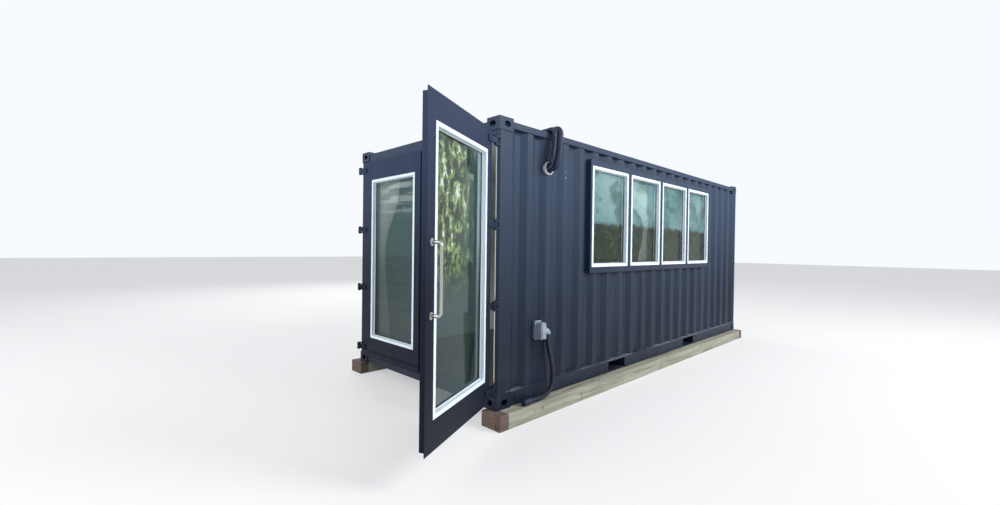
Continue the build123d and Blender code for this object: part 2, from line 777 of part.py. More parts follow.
# Roof pipes: a thin and a thick insulated pipe out of the sleeve, up over the top rail, into a boot.
# The thick one leads the thin one by a little on its way up the wall. The route is for their middle.
pipe_start = lining_y + sleeve_wall
pipe_over = height - top_rail_drop + pipe_clear
pipe_route = [(680, pipe_start, sleeve_height), (680, 1252, sleeve_height), (690, 1280, 2282),
              (712, 1282, 2420), (732, 1274, pipe_over - 30), (738, 1242, pipe_over + 8),
              (740, 1165, pipe_over + 4), (742, 1050, pipe_over), (742, boot_edge, pipe_over)]
pipe_pair = thin_pipe_diameter + thick_pipe_diameter + pipe_gap
with BuildPart() as roof_pipes:
    for diameter, shift, lead in (
            (thin_pipe_diameter, (thin_pipe_diameter - pipe_pair) / 2, 0.0),
            (thick_pipe_diameter, (pipe_pair - thick_pipe_diameter) / 2, thick_pipe_lead)):
        pipe_points = []
        for number, (along, out, up) in enumerate(pipe_route):
            step_out = lead if 0 < number < 6 else 0.0
            step_up = diameter / 2 if number > 3 else 0.0
            pipe_points.append(Vector(along + shift - half_length, -out - step_out, base + up + step_up))
        pipe, pipe_wire = tube_part(pipe_points, route_radii(pipe_points), diameter)
        add(pipe.part)
print("roof pipe length", round(pipe_wire.length))
finish(roof_pipes, "roof_pipes")
boot_x = pipe_route[-1][0] - half_length
with BuildPart() as roof_boot:
    with BuildSketch(Plane.XY.offset(roof_z)):
        with Locations((boot_x, -(boot_edge - boot_size / 2))):
            RectangleRounded(boot_size + 2 * boot_flange, boot_size, boot_flange)
    extrude(amount=boot_flange / 2)
    with BuildSketch(Plane.XY.offset(roof_z)):
        with Locations((boot_x, -(boot_edge - boot_size / 2))):
            Rectangle(boot_size, boot_size)
    extrude(amount=boot_height)
    fillet(roof_boot.faces().sort_by(Axis.Z)[-1].edges(), radius=boot_flange)
finish(roof_boot, "roof_boot")


def curtain_rail(plane, half_span, name):
    """A round rod on two brackets; the plane's origin is the rod's middle, its z_dir towards the wall."""
    rod_run = Plane(origin=plane.origin - plane.x_dir * half_span, x_dir=plane.y_dir, z_dir=plane.x_dir)
    with BuildPart() as rail:
        with BuildSketch(rod_run):
            Circle(rod_radius)
        extrude(amount=2 * half_span)
        with BuildSketch(plane):
            with Locations((rod_inset - half_span, 0), (half_span - rod_inset, 0)):
                Circle(rod_bracket_radius)
        extrude(amount=rod_stand_off)
    finish(rail, name)


def curtain(plane, outline, name):
    """A hanging curtain as one closed form, outlined on the plane of its rod."""
    with BuildPart() as cloth:
        with BuildSketch(plane):
            with BuildLine():
                Polyline(*outline, close=True)
            make_face()
        extrude(amount=curtain_thickness / 2, both=True)
    finish(cloth, name)


# Curtain in the second window: tied back to the far side
rod_z = window_head - rod_drop
rod_plane = Plane(origin=(window_planes[1].origin.X, rod_stand_off - lining_y, rod_z), x_dir=(1, 0, 0),
                  z_dir=(0, -1, 0))
curtain_rail(rod_plane, window_pitch / 2, "window_curtain_rod")
cloth_top = -rod_radius - seat_gap
cloth_half = window_width / 2 - 2 * rod_radius
cloth_tie = -window_height * 0.5
cloth_foot = rod_drop - window_height
curtain(rod_plane, [(-cloth_half, cloth_top), (cloth_half, cloth_top), (cloth_half, cloth_foot),
                    (cloth_half - 0.35 * window_width, cloth_foot), (cloth_half - tie_width, cloth_tie),
                    (-cloth_half, cloth_top - 0.2 * window_height)], "window_curtain")

# Curtain behind the left door's glass: tied back towards the hinges
leaf_rod_r = left_window_edge + left_window_width / 2
leaf_rod_z = leaf_window_z + left_window_height / 2 + rod_drop
leaf_rod_w = -(door_plate + door_body + rod_stand_off)
leaf_rod_plane = Plane(origin=left_face.from_local_coords((left_turn * leaf_rod_r, leaf_rod_z, leaf_rod_w)),
                       x_dir=left_face.x_dir, z_dir=left_face.z_dir)
curtain_rail(leaf_rod_plane, left_window_width / 2, "leaf_curtain_rod")
hinge_side_edge = -left_turn * (left_window_width / 2 - 2 * rod_radius)
leaf_foot = -(left_window_height + rod_drop)
leaf_tie = 0.45 * leaf_foot
curtain(leaf_rod_plane, [(hinge_side_edge, cloth_top), (hinge_side_edge, leaf_foot),
                         (hinge_side_edge + left_turn * 0.3 * left_window_width, leaf_foot),
                         (hinge_side_edge + left_turn * tie_width, leaf_tie),
                         (hinge_side_edge + left_turn * 0.45 * left_window_width, 0.1 * leaf_foot),
                         (hinge_side_edge + left_turn * 0.5 * left_window_width, cloth_top)],
        "leaf_curtain")
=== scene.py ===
import json
import math

import bmesh
import bpy
from mathutils import Matrix, Vector, noise


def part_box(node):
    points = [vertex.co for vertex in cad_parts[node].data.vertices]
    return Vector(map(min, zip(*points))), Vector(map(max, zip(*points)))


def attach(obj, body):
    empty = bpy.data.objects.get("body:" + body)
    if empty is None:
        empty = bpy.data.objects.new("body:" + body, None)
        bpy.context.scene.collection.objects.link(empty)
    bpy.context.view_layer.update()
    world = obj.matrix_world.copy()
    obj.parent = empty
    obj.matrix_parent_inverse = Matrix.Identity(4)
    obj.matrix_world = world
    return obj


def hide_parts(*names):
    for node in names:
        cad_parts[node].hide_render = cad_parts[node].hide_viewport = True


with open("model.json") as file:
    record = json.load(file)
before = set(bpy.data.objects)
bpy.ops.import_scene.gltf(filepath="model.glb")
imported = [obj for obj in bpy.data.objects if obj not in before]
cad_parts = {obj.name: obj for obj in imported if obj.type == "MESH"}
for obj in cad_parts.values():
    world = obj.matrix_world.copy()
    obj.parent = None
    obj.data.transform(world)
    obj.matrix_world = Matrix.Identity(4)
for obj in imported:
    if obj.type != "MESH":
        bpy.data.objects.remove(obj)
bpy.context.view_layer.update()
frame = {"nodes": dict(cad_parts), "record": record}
scene = bpy.context.scene
scene.view_settings.view_transform = "Standard"


# The viewpoint: a wide lens at eye height off the door corner, looking along the diagonal, as the
# photograph was taken. The place was found from the container's own corners.
eye_place = Vector((-5.7795, -4.0065, 1.571))
eye_turn = math.radians(-44.863)
eye_rise = math.radians(-0.5745)
eye_roll = math.radians(0.743)
focal_pixels = 449.84
photo_width = 1000
lens_data = bpy.data.cameras.new("eye")
lens_data.sensor_width = 36
lens_data.lens = lens_data.sensor_width * focal_pixels / photo_width
lens_data.clip_start = 0.05
lens_data.clip_end = 200
eye = bpy.data.objects.new("eye", lens_data)
scene.collection.objects.link(eye)
eye.matrix_world = (Matrix.Translation(eye_place) @ Matrix.Rotation(eye_turn, 4, "Z")
                    @ Matrix.Rotation(math.pi / 2 + eye_rise, 4, "X") @ Matrix.Rotation(eye_roll, 4, "Z"))
scene.camera = eye


# The conduit: a stiff hose that drops out of the inlet's elbow, swings along the wall and lies down on
# the bearer's ledge. Points are along from the door end, out from the middle and up from the castings.
door_end, half_width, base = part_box("bottom_corner_fittings")[0] * Vector((1, -1, 1))
hose_radius = 0.023
ledge_height = 0.029
hose_route = [(0.658, 1.252, 0.590), (0.658, 1.252, 0.525), (0.676, 1.261, 0.440), (0.700, 1.267, 0.350),
              (0.716, 1.272, 0.265), (0.716, 1.277, 0.180), (0.694, 1.282, 0.105), (0.640, 1.287, 0.054),
              (0.555, 1.291, ledge_height), (0.450, 1.292, ledge_height), (0.350, 1.290, ledge_height)]
hose_points = [Vector((door_end + along, -out, base + up)) for along, out, up in hose_route]
hose_curve = bpy.data.curves.new("conduit_hose", "CURVE")
hose_curve.dimensions = "3D"
hose_curve.bevel_depth = 1.0
hose_curve.bevel_resolution = 7
hose_curve.resolution_u = 20
hose_curve.use_fill_caps = True
hose_run = hose_curve.splines.new("NURBS")
hose_run.points.add(len(hose_points) - 1)
for hose_point, spot in zip(hose_run.points, hose_points):
    hose_point.co = (*spot, 1)
    hose_point.radius = hose_radius
hose_run.order_u = 3
hose_run.use_endpoint_u = True
hose = bpy.data.objects.new("conduit_hose", hose_curve)
scene.collection.objects.link(hose)
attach(hose, "cabin")
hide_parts("conduit")


# Navy steel: satin paint rolled and sprayed over container steel that was already dented and repainted.
# Dust lies on it low down, water has run in faint streaks, and chips near its foot show rust.
class Varying:
    """A number that changes over a surface; arithmetic on it adds Math nodes."""

    def __init__(self, nodes, socket):
        self.nodes = nodes
        self.socket = socket

    def math(self, operation, first, second, clamp=False):
        settings = {"operation": operation, "use_clamp": clamp}
        return self.nodes.add("ShaderNodeMath", settings, {0: first, 1: second})

    def __add__(self, other):
        return self.math("ADD", self, other)

    __radd__ = __add__

    def __sub__(self, other):
        return self.math("SUBTRACT", self, other)

    def __rsub__(self, other):
        return self.math("SUBTRACT", other, self)

    def __mul__(self, other):
        return self.math("MULTIPLY", self, other)

    __rmul__ = __mul__

    def held(self):
        """The same number, held between 0 and 1."""
        return self.math("ADD", self, 0.0, clamp=True)

    def wave(self):
        """A smooth wave of it, one turn for every 2 pi."""
        return self.math("SINE", self, 0.0)

    def to_and_fro(self, reach):
        """It runs up to reach and back to 0, over and over."""
        return self.math("PINGPONG", self, reach)

    def between(self, low, high):
        """0 below low, 1 above high, and smooth between them."""
        return self.nodes.add("ShaderNodeMapRange", {"interpolation_type": "SMOOTHSTEP"},
                              {"Value": self, "From Min": low, "From Max": high})


class Nodes:
    """A node tree in the making."""

    def __init__(self, tree):
        self.tree = tree

    def add(self, kind, settings=None, sockets=None, out=0):
        """Adds a node, with its settings first, and returns the output asked for."""
        node = self.tree.nodes.new(kind)
        for name, value in (settings or {}).items():
            setattr(node, name, value)
        for name, value in (sockets or {}).items():
            self.feed(node.inputs[name], value)
        return Varying(self, node.outputs[out])

    def feed(self, socket, value):
        """Links a varying value to a socket, or sets a plain one on it."""
        if isinstance(value, Varying):
            self.tree.links.new(value.socket, socket)
        elif isinstance(value, tuple) and len(value) == 3 and socket.type == "RGBA":
            socket.default_value = (*value, 1)
        else:
            socket.default_value = value


class Finish(Nodes):
    """A material in the making; its patterns read the object's own coordinates, in metres."""

    def __init__(self, name, **fixed):
        self.material = bpy.data.materials.new(name)
        self.material.use_nodes = True
        super().__init__(self.material.node_tree)
        self.shader = self.tree.nodes["Principled BSDF"]
        for socket, value in fixed.items():
            socket = socket.replace("_", " ").title().replace("Ior", "IOR")
            self.shader.inputs[socket].default_value = value
        self.place = self.add("ShaderNodeTexCoord", out="Object")

    def noise(self, scale, detail=3.0, stretch=(1, 1, 1), rough=0.55):
        """Soft random variation, scale per metre, drawn out along an axis by a small stretch."""
        place = self.add("ShaderNodeMapping", None, {"Vector": self.place, "Scale": stretch})
        return self.add("ShaderNodeTexNoise", None,
                        {"Vector": place, "Scale": scale, "Detail": detail, "Roughness": rough})

    def axis(self, name):
        """The place along X, Y or Z, in metres."""
        return self.add("ShaderNodeSeparateXYZ", None, {"Vector": self.place}, out=name)

    def mix(self, amount, first, second):
        """One colour over another by a varying amount."""
        factor, under, over, result = 0, 6, 7, 2
        return self.add("ShaderNodeMix", {"data_type": "RGBA"}, {factor: amount, under: first, over: second},
                        out=result)

    def complete(self, colour=None, roughness=None, bump=None, depth=0.001, alpha=None):
        """Connects what varies to the shader."""
        relief = None
        if bump is not None:
            relief = self.add("ShaderNodeBump", None, {"Height": bump, "Distance": depth, "Strength": 1.0},
                              out="Normal")
        varied = {"Base Color": colour, "Roughness": roughness, "Normal": relief, "Alpha": alpha}
        for socket, value in varied.items():
            if value is not None:
                self.feed(self.shader.inputs[socket], value)


def shade(red, green, blue):
    """A colour as it looks on a screen, 0 to 255, in the renderer's linear numbers."""
    parts = []
    for part in (red, green, blue):
        part = part / 255
        parts.append(part / 12.92 if part <= 0.04045 else ((part + 0.055) / 1.055) ** 2.4)
    return tuple(parts)


def coat(material, *nodes):
    """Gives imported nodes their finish."""
    for name in nodes:
        piece = frame["nodes"][name]
        piece.data.materials.clear()
        piece.data.materials.append(material)


def soften(width, *nodes):
    """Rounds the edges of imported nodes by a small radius."""
    for name in nodes:
        piece = frame["nodes"][name]
        weld = piece.modifiers.new("weld", "WELD")
        weld.merge_threshold = 0.00002
        rounding = piece.modifiers.new("rounding", "BEVEL")
        rounding.width = width
        rounding.segments = 3
        rounding.limit_method = "ANGLE"
        rounding.angle_limit = math.radians(40)


paint = Finish("navy_paint", specular_ior_level=0.25)
patches = paint.noise(0.9, 4)
streaks = paint.noise(7, 4, (1, 1, 0.06))
grime = paint.noise(3.2, 6, rough=0.7)
peel = paint.noise(260, 2)
dents = paint.noise(2.6, 2)
height = paint.axis("Z")
low_down = 1 - height.between(0.12, 0.75)
navy = paint.mix(patches.between(0.3, 0.72), shade(14, 26, 44), shade(22, 35, 54))
# Towards the top the paint is mixed lighter, and low down it stays dark: painted light from above and
# painted shade near the foot.
navy = paint.mix((height.between(0.5, 2.5) * 0.8).held(), navy, shade(46, 63, 87))
navy = paint.mix((streaks.between(0.52, 0.75) * 0.2).held(), navy, shade(74, 86, 104))
navy = paint.mix((low_down * grime.between(0.42, 0.7) * 0.3).held(), navy, shade(62, 63, 62))

# A painted highlight lies along the bottom rail's upper edge between the corner castings, broken up along
# its length.
ledge_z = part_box("bottom_rails")[1].z
panel_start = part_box("wall_left")[0].x
rail_edge_highlight = height.between(ledge_z - 0.013, ledge_z - 0.007) - height.between(ledge_z + 0.001, ledge_z + 0.004)
rail_edge_highlight = rail_edge_highlight * paint.axis("X").between(panel_start + 0.03, panel_start + 0.1)
rail_edge_highlight = (rail_edge_highlight * paint.noise(1.3, 5, rough=0.65).between(0.36, 0.55) * 0.45).held()
navy = paint.mix(rail_edge_highlight, navy, shade(128, 138, 152))
chips = paint.noise(46, 3).between(0.735, 0.75) * low_down
navy = paint.mix(chips, navy, shade(96, 55, 34))
paint.complete(navy, (0.36 + 0.18 * grime + 0.12 * streaks).held(), dents * 6 + peel * 0.12, 0.0012)
coat(paint.material, "bottom_corner_fittings", "top_corner_fittings", "door_posts", "end_posts",
     "door_header", "door_sill", "end_rail_top", "end_rail_bottom", "top_rails", "bottom_rails",
     "wall_right_door_end", "wall_right_below_windows", "wall_right_above_windows", "wall_right_far_end",
     "wall_left", "wall_far_end", "roof_panel", "roof_end_plates", "floor_crossmembers", "fork_pockets",
     "window_surround", "hinge_lugs_right", "hinge_lugs_left")
soften(0.005, "bottom_corner_fittings", "top_corner_fittings", "door_posts", "end_posts", "door_header",
       "door_sill")
soften(0.003, "top_rails", "window_surround", "hinge_lugs_right", "hinge_lugs_left", "fork_pockets")


# Door leaves: new steel plates on box frames, welded up and sprayed with the same paint in a warmer, darker
# coat that lies smoother than on the old shell; part of that darkness is painted shade. Water has run down
# them in pale streaks.
leaf_paint = Finish("leaf_paint", specular_ior_level=0.12)
leaf_grime = leaf_paint.noise(2.4, 5)
leaf_runs = leaf_paint.noise(9, 4, (1, 1, 0.05)).between(0.55, 0.78)
leaf_peel = leaf_paint.noise(240, 2)
leaf_dents = leaf_paint.noise(2.2, 2)
leaf_height = leaf_paint.axis("Z")
plum = leaf_paint.mix(leaf_grime.between(0.35, 0.7), shade(10, 17, 32), shade(17, 25, 42))
# Towards the top the leaves are mixed lighter and bluer, a painted reflection of the sky; low down they stay
# dark as painted shade.
plum = leaf_paint.mix((leaf_height.between(0.9, 2.4) * 0.7).held(), plum, shade(48, 61, 90))
plum = leaf_paint.mix((leaf_runs * 0.2).held(), plum, shade(84, 86, 98))
leaf_paint.complete(plum, (0.34 + 0.2 * leaf_grime).held(), leaf_dents * 5 + leaf_peel * 0.1, 0.001)
coat(leaf_paint.material, "right_leaf_panel", "right_leaf_hinges", "left_leaf_panel", "left_leaf_hinges")
soften(0.003, "right_leaf_hinges", "left_leaf_hinges")
soften(0.0014, "right_leaf_panel", "left_leaf_panel")


# Welds: painted beads where the wave sheets meet posts and rails, where the window surround is set into
# the wall, and where the castings meet the frame. They were run by hand, so they ripple a little.
sheet = 0.002
skin_out = -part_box("wall_right_door_end")[0].y
panel_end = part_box("wall_left")[1].x
post_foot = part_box("door_posts")[0].z
post_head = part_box("door_posts")[1].z
post_face = 0.048
post_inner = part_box("door_posts")[1].y - post_face
header_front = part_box("door_header")[0].x
header_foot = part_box("door_header")[0].z
rail_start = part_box("bottom_rails")[0].x
rail_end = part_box("bottom_rails")[1].x
surround_low, surround_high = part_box("window_surround")
wave_depth = skin_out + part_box("wall_right_door_end")[1].y - sheet
wave_first = 0.276
wave_pitch = 0.278
wave_half = 0.035
wave_slope = 0.068


def wave_depth_at(x):
    """How deep the side sheet lies at a place along the wall."""
    away = abs((x - door_end - wave_first + wave_pitch / 2) % wave_pitch - wave_pitch / 2)
    return wave_depth * min(1, max(0, (wave_half + wave_slope - away) / wave_slope))


def axes(origin, across, up, out):
    """A placing matrix from its origin and three directions."""
    turn = Matrix((across, up, out)).transposed().to_4x4()
    return Matrix.Translation(origin) @ turn


def made(name, form, material, body, smooth=False):
    """A finished piece from a mesh in the making, which rides on its body."""
    bmesh.ops.recalc_face_normals(form, faces=form.faces)
    if smooth:
        for face in form.faces:
            face.smooth = True
    mesh = bpy.data.meshes.new(name)
    form.to_mesh(mesh)
    form.free()
    mesh.materials.append(material)
    piece = bpy.data.objects.new(name, mesh)
    scene.collection.objects.link(piece)
    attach(piece, body)
    return piece


def raised(form, faces):
    """Extrudes faces with their rims and returns the new geometry, still where the old one lies."""
    rims = {part for face in faces for part in (*face.edges, *face.verts)}
    return bmesh.ops.extrude_face_region(form, geom=[*faces, *rims])["geom"]


def bead(form, path, radius, step=0.012, ripple=0.2, sides=8):
    """A weld or sealant bead drawn along a path, a little uneven as it was laid by hand."""
    spots = []
    for start, end in zip(path, path[1:]):
        count = max(1, round((end - start).length / step))
        spots += [start.lerp(end, number / count) for number in range(count)]
    spots.append(path[-1])
    own = bmesh.new()
    tip = here = None
    for number, spot in enumerate(spots):
        run = (spots[min(number + 1, len(spots) - 1)] - spots[max(number - 1, 0)]).normalized()
        upright = abs(run.z) > 0.9
        across = (run.orthogonal() if upright else run.cross(Vector((0, 0, 1)))).normalized()
        size = radius * (1 + ripple * noise.noise(spot * 90))
        before, here = here, axes(spot, across, run.cross(across), run) @ Matrix.Scale(size, 4)
        if tip is None:
            bmesh.ops.create_circle(own, cap_ends=True, segments=sides, radius=1, matrix=here)
            tip = own.faces[:][0]
        else:
            tip = next(part for part in raised(own, [tip]) if isinstance(part, bmesh.types.BMFace))
            bmesh.ops.transform(own, matrix=here @ before.inverted(), verts=tip.verts)
    drawn = bpy.data.meshes.new("bead")
    own.to_mesh(drawn)
    own.free()
    form.from_mesh(drawn)
    bpy.data.meshes.remove(drawn)


weld_radius = 0.0035
rail_weld_radius = weld_radius * 1.3
welds = bmesh.new()
wave_breaks = [rail_start, rail_end]
wave_middle = door_end + wave_first
while wave_middle < rail_end:
    wave_breaks += [wave_middle + shift for shift in (-wave_half - wave_slope, -wave_half, wave_half,
                                                      wave_half + wave_slope)]
    wave_middle += wave_pitch
wave_breaks = sorted(x for x in wave_breaks if rail_start <= x <= rail_end)
for facing in (-1, 1):
    for end_x in (panel_start, panel_end):
        bead(welds, [Vector((end_x, facing * skin_out, z)) for z in (post_foot, post_head)], weld_radius)
    bead(welds, [Vector((x, facing * (skin_out - wave_depth_at(x)), ledge_z)) for x in wave_breaks],
         rail_weld_radius)
for side_x in (surround_low.x, surround_high.x):
    sheet_out = skin_out - wave_depth_at(side_x)
    bead(welds, [Vector((side_x, -sheet_out, z)) for z in (surround_low.z, surround_high.z)], weld_radius)
for facing in (-1, 1):
    for end_sign in (1, -1):
        for z in (post_foot, post_head):
            bead(welds, [Vector((panel_start * end_sign, facing * half_width, z)),
                         Vector((header_front * end_sign, facing * half_width, z)),
                         Vector((header_front * end_sign, facing * post_inner, z))], weld_radius)
    bead(welds, [Vector((header_front, facing * post_inner, z)) for z in (header_foot, post_head)],
         weld_radius)
made("shell_welds", welds, paint.material, "cabin", smooth=True)


# Timber: sawn bearers gone pale and greenish outdoors, with dark checks and nail runs along the grain,
# and redder corner blocks cut from another piece of wood. The frame stands on them loose.
for name, pale, dark, nodes in (
        ("bearer_timber", shade(168, 168, 154), shade(112, 110, 94), ("bearers",)),
        ("block_timber", shade(112, 92, 84), shade(66, 52, 48), ("corner_blocks",))):
    timber = Finish(name, roughness=0.85)
    grain = timber.noise(38, 5, (0.05, 1, 1), 0.65)
    bands = timber.noise(9, 4, (0.04, 1, 1))
    checks = timber.noise(16, 3, (0.035, 1, 1)).between(0.66, 0.7)
    nail_runs = timber.noise(42, 1, (1, 1, 0.18)).between(0.71, 0.74)
    stain = timber.noise(1.7, 4).between(0.5, 0.75)
    tone = timber.mix(grain.between(0.25, 0.75), dark, pale)
    tone = timber.mix((bands.between(0.35, 0.7) * 0.5).held(), tone, pale)
    tone = timber.mix((checks + nail_runs).held(), tone, shade(52, 46, 38))
    tone = timber.mix((stain * 0.3).held(), tone, shade(104, 106, 88))
    timber.complete(tone, (0.75 + 0.2 * grain).held(), grain - checks * 2.5, 0.0025)
    coat(timber.material, *nodes)
soften(0.006, "bearers", "corner_blocks")


# Windows: fixed frames of white plastic profile with mitred, welded corners and clipped-in beads. They
# have a faint texture and a little dirt, and are bedded in dark sealant that shows as fine joints.
white = Finish("white_profile", specular_ior_level=0.5)
haze = white.noise(6, 4)
white.complete(white.mix((haze.between(0.45, 0.8) * 0.3).held(), shade(228, 240, 250), shade(204, 211, 216)),
               (0.3 + 0.15 * haze).held(), white.noise(420, 2), 0.0002)
coat(white.material, "window_frames", "right_leaf_window_frame", "left_leaf_window_frame")
soften(0.0022, "window_frames", "right_leaf_window_frame", "left_leaf_window_frame")
rubber = Finish("dark_rubber", roughness=0.6)
rubber.complete(rubber.mix(rubber.noise(30, 3), shade(24, 26, 30), shade(44, 46, 50)),
                bump=rubber.noise(300, 2), depth=0.0002)
frame_face = 0.032
bead_face = 0.008
bead_front = -0.030
glass_front = -0.040
joint_face = 0.0026
mitre_half = 0.0004
mitre_inset = 0.003
mitre_low, mitre_high = 0.002, 0.00425
window_wide = 0.768
window_frames_low, window_frames_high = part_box("window_frames")
window_high = window_frames_high.z - window_frames_low.z
window_middle = (window_frames_low.z + window_frames_high.z) / 2
window_pitch = (window_frames_high.x - window_frames_low.x - window_wide) / 3
surround_front = surround_low.y


def border(form, place, half_wide, half_high, face, low, high):
    """A mitred rectangular ring on place's XY plane, between two heights."""
    foot = place @ Matrix.Translation((0, 0, low))
    whole = bmesh.ops.create_grid(form, x_segments=1, y_segments=1, size=1,
                                  matrix=foot @ Matrix.Diagonal((half_wide, half_high, 1, 1)))
    middle = whole["verts"][0].link_faces[0]
    ring = bmesh.ops.inset_individual(form, faces=[middle], thickness=face, use_even_offset=True)["faces"]
    bmesh.ops.delete(form, geom=[middle], context="FACES_ONLY")
    lifted = [part for part in raised(form, ring) if isinstance(part, bmesh.types.BMVert)]
    bmesh.ops.translate(form, vec=place.col[2].xyz * (high - low), verts=lifted)


def slab(form, place, low, high, round_by=0.0):
    """A block between two corners in place's own directions, its edges rounded when round_by is given."""
    low, high = Vector(low), Vector(high)
    block = bmesh.ops.create_cube(form, size=1, matrix=place @ Matrix.Translation((low + high) / 2)
                                  @ Matrix.Diagonal((*(high - low), 1)))
    if round_by:
        edges = {edge for vert in block["verts"] for edge in vert.link_edges}
        bmesh.ops.bevel(form, geom=list(edges), offset=round_by, segments=2, profile=0.5,
                        affect="EDGES", material=-1)


def joints(form, place, wide, high):
    """The dark joints of one window; place is its centre on the face that carries it."""
    for inset, low, top in ((-joint_face, -0.002, 0.0012),
                            (frame_face - 0.0004, bead_front - 0.002, bead_front + 0.0003),
                            (frame_face + bead_face - 0.0006, glass_front - 0.0005, bead_front - 0.0016)):
        border(form, place, wide / 2 - inset, high / 2 - inset, joint_face, low, top)
    for across in (-1, 1):
        for up in (-1, 1):
            corner = Vector((across * wide / 2, up * high / 2, 0))
            inward = Vector((-across, -up, 0)).normalized()
            beside = Vector((1, -1 if across == up else 1, 0)).normalized()
            mitre = place @ axes(corner, inward, beside, Vector((0, 0, 1)))
            slab(form, mitre, (mitre_inset, -mitre_half, mitre_low),
                 (frame_face * math.sqrt(2) - mitre_inset, mitre_half, mitre_high))


facing_out = (Vector((1, 0, 0)), Vector((0, 0, 1)), Vector((0, -1, 0)))
wall_joints = bmesh.new()
for number in range(4):
    centre_x = window_frames_low.x + window_wide / 2 + number * window_pitch
    centre = Vector((centre_x, surround_front, window_middle))
    joints(wall_joints, axes(centre, *facing_out), window_wide, window_high)
made("window_joints", wall_joints, rubber.material, "cabin")


# The leaves' windows: two tall frames of the same profile, bedded in the plates. Each leaf has its own
# directions: r from the pin to the free edge, z up, and w outwards from the pin.
pins = {joint["name"]: Vector(joint["pos_m"]) for joint in frame["record"]["behaviour"]["joints"]}
open_angle = math.radians(115)
right_along = Vector((-math.sin(open_angle), math.cos(open_angle), 0))
right_out = Vector((-math.cos(open_angle), -math.sin(open_angle), 0))
right_place = axes(pins["right_leaf_hinge"], right_along, Vector((0, 0, 1)), right_out)
left_place = axes(pins["left_leaf_hinge"], Vector((0, -1, 0)), Vector((0, 0, 1)), Vector((-1, 0, 0)))
leaves = {"right_leaf": right_place, "left_leaf": left_place}
plate_out = -0.022
leaf_middle = base + 1.2805
leaf_window_wide = 0.905
leaf_window_high = {"right_leaf": 1.960, "left_leaf": 1.905}
leaf_window_edge = {"right_leaf": 0.138, "left_leaf": 0.255}
for body, place in leaves.items():
    window_r = leaf_window_edge[body] + leaf_window_wide / 2
    leaf_joints = bmesh.new()
    joints(leaf_joints, place @ Matrix.Translation((window_r, leaf_middle, plate_out)), leaf_window_wide,
           leaf_window_high[body])
    made(f"{body}_joints", leaf_joints, rubber.material, body)


# Panes: sealed units of lightly mirrored green glass, whose reflections are painted into their colour. Above
# eye height a painted pale reflection is broken by darker reflected patches, below it lies a painted mottled
# dark green reflection, and the room and its curtain show through.
pane_gloss = {"roughness": 0.02, "metallic": 0.5, "specular_ior_level": 0.5, "coat_weight": 0.3,
              "coat_roughness": 0.02}
glass = Finish("green_glass", **pane_gloss)
ragged = glass.noise(7, 6, rough=0.7)
lit = (glass.axis("Z") + (ragged - 0.5) * 0.16).between(1.84, 1.9)
sheen = glass.noise(1.5, 5).between(0.35, 0.68)
dark_reflections = glass.noise(2.6, 7, rough=0.74).between(0.49, 0.55)
mottled_reflection = glass.noise(17, 6, (1, 1, 1.2), 0.75).between(0.46, 0.66)
# Painted reflections: a pale sheen above eye height with darker patches, and a dark green mottle below.
upper_reflection = glass.mix(sheen, shade(140, 204, 206), shade(200, 244, 246))
upper_reflection = glass.mix((dark_reflections * 0.65).held(), upper_reflection, shade(72, 128, 116))
lower_reflection = glass.mix(mottled_reflection, shade(16, 36, 24), shade(92, 128, 84))
glass.complete(glass.mix(lit, lower_reflection, upper_reflection), bump=glass.noise(1.1, 1), depth=0.004,
               alpha=(0.36 - 0.08 * lit).held())
coat(glass.material, "window_glass")


# The doors' panes mirror less light, with their reflections painted into the colour: green flecks with
# bright gaps at the top of the open one, streaks on the closed one, and deep green lower down, where the
# room and the curtain show through more.
def door_pane(node, place, spots, bright, pale, starts, spread, gloom, mirrored):
    """A pane whose painted reflected flecks start at a height; gloom and mirrored say how much hides the
    room.
    """
    pane = Finish(node, **pane_gloss)
    toward = place.col[0]
    along = ((pane.axis("X") - place.translation.x) * toward.x
             + (pane.axis("Y") - place.translation.y) * toward.y)
    rise = pane.axis("Z")
    reflected_flecks = pane.noise(*spots, rough=0.7)
    reach = rise.between(starts, starts + spread) * along.between(0.2, 0.62)
    pale_reflection_gaps = rise.between(starts + 0.3, starts + 0.6) * along.between(0.1, 0.5)
    # Painted reflections: darker lower down, deeper green where the flecks reach, bright flecks and pale
    # gaps.
    deep = pane.mix(rise.between(0.7, 2.3), shade(18, 56, 60), shade(52, 104, 104))
    deep = pane.mix((reach * (2 * mirrored)).held(), deep, shade(20, 40, 30))
    deep = pane.mix((reflected_flecks.between(0.47, 0.56) * reach).held(), deep, bright)
    deep = pane.mix((reflected_flecks.between(0.57, 0.63) * pale_reflection_gaps).held(), deep, pale)
    hidden = 0.24 + 0.18 * reflected_flecks + gloom * (1 - rise.between(1.0, 1.8)) + mirrored * reach
    pane.complete(deep, bump=pane.noise(1.1, 1), depth=0.004, alpha=hidden.held())
    coat(pane.material, node)


door_pane("right_leaf_glass", right_place, spots=(13, 8, (1, 1, 0.8)), bright=shade(132, 160, 84),
          pale=shade(232, 242, 244), starts=1.1, spread=0.45, gloom=0.24, mirrored=0.45)
door_pane("left_leaf_glass", left_place, spots=(5, 5, (1, 0.3, 3)), bright=shade(176, 194, 190),
          pale=shade(236, 242, 242), starts=1.92, spread=0.1, gloom=0.14, mirrored=0.0)


# Linings and ceiling: pale painted boards fixed to battens, with a thin cover strip over the joint every
# 1.2 m. The doorway's jambs are whiter boards, scuffed by what is carried past them, their white pushed up
# as painted light.
board = Finish("lining_board", roughness=0.6)
cloudy = board.noise(1.6, 4)
board.complete(board.mix(cloudy.between(0.3, 0.7), shade(196, 204, 198), shade(214, 219, 212)),
               (0.5 + 0.2 * cloudy).held(), board.noise(120, 3), 0.0004)
coat(board.material, "lining_right", "lining_left", "lining_far_end", "ceiling")
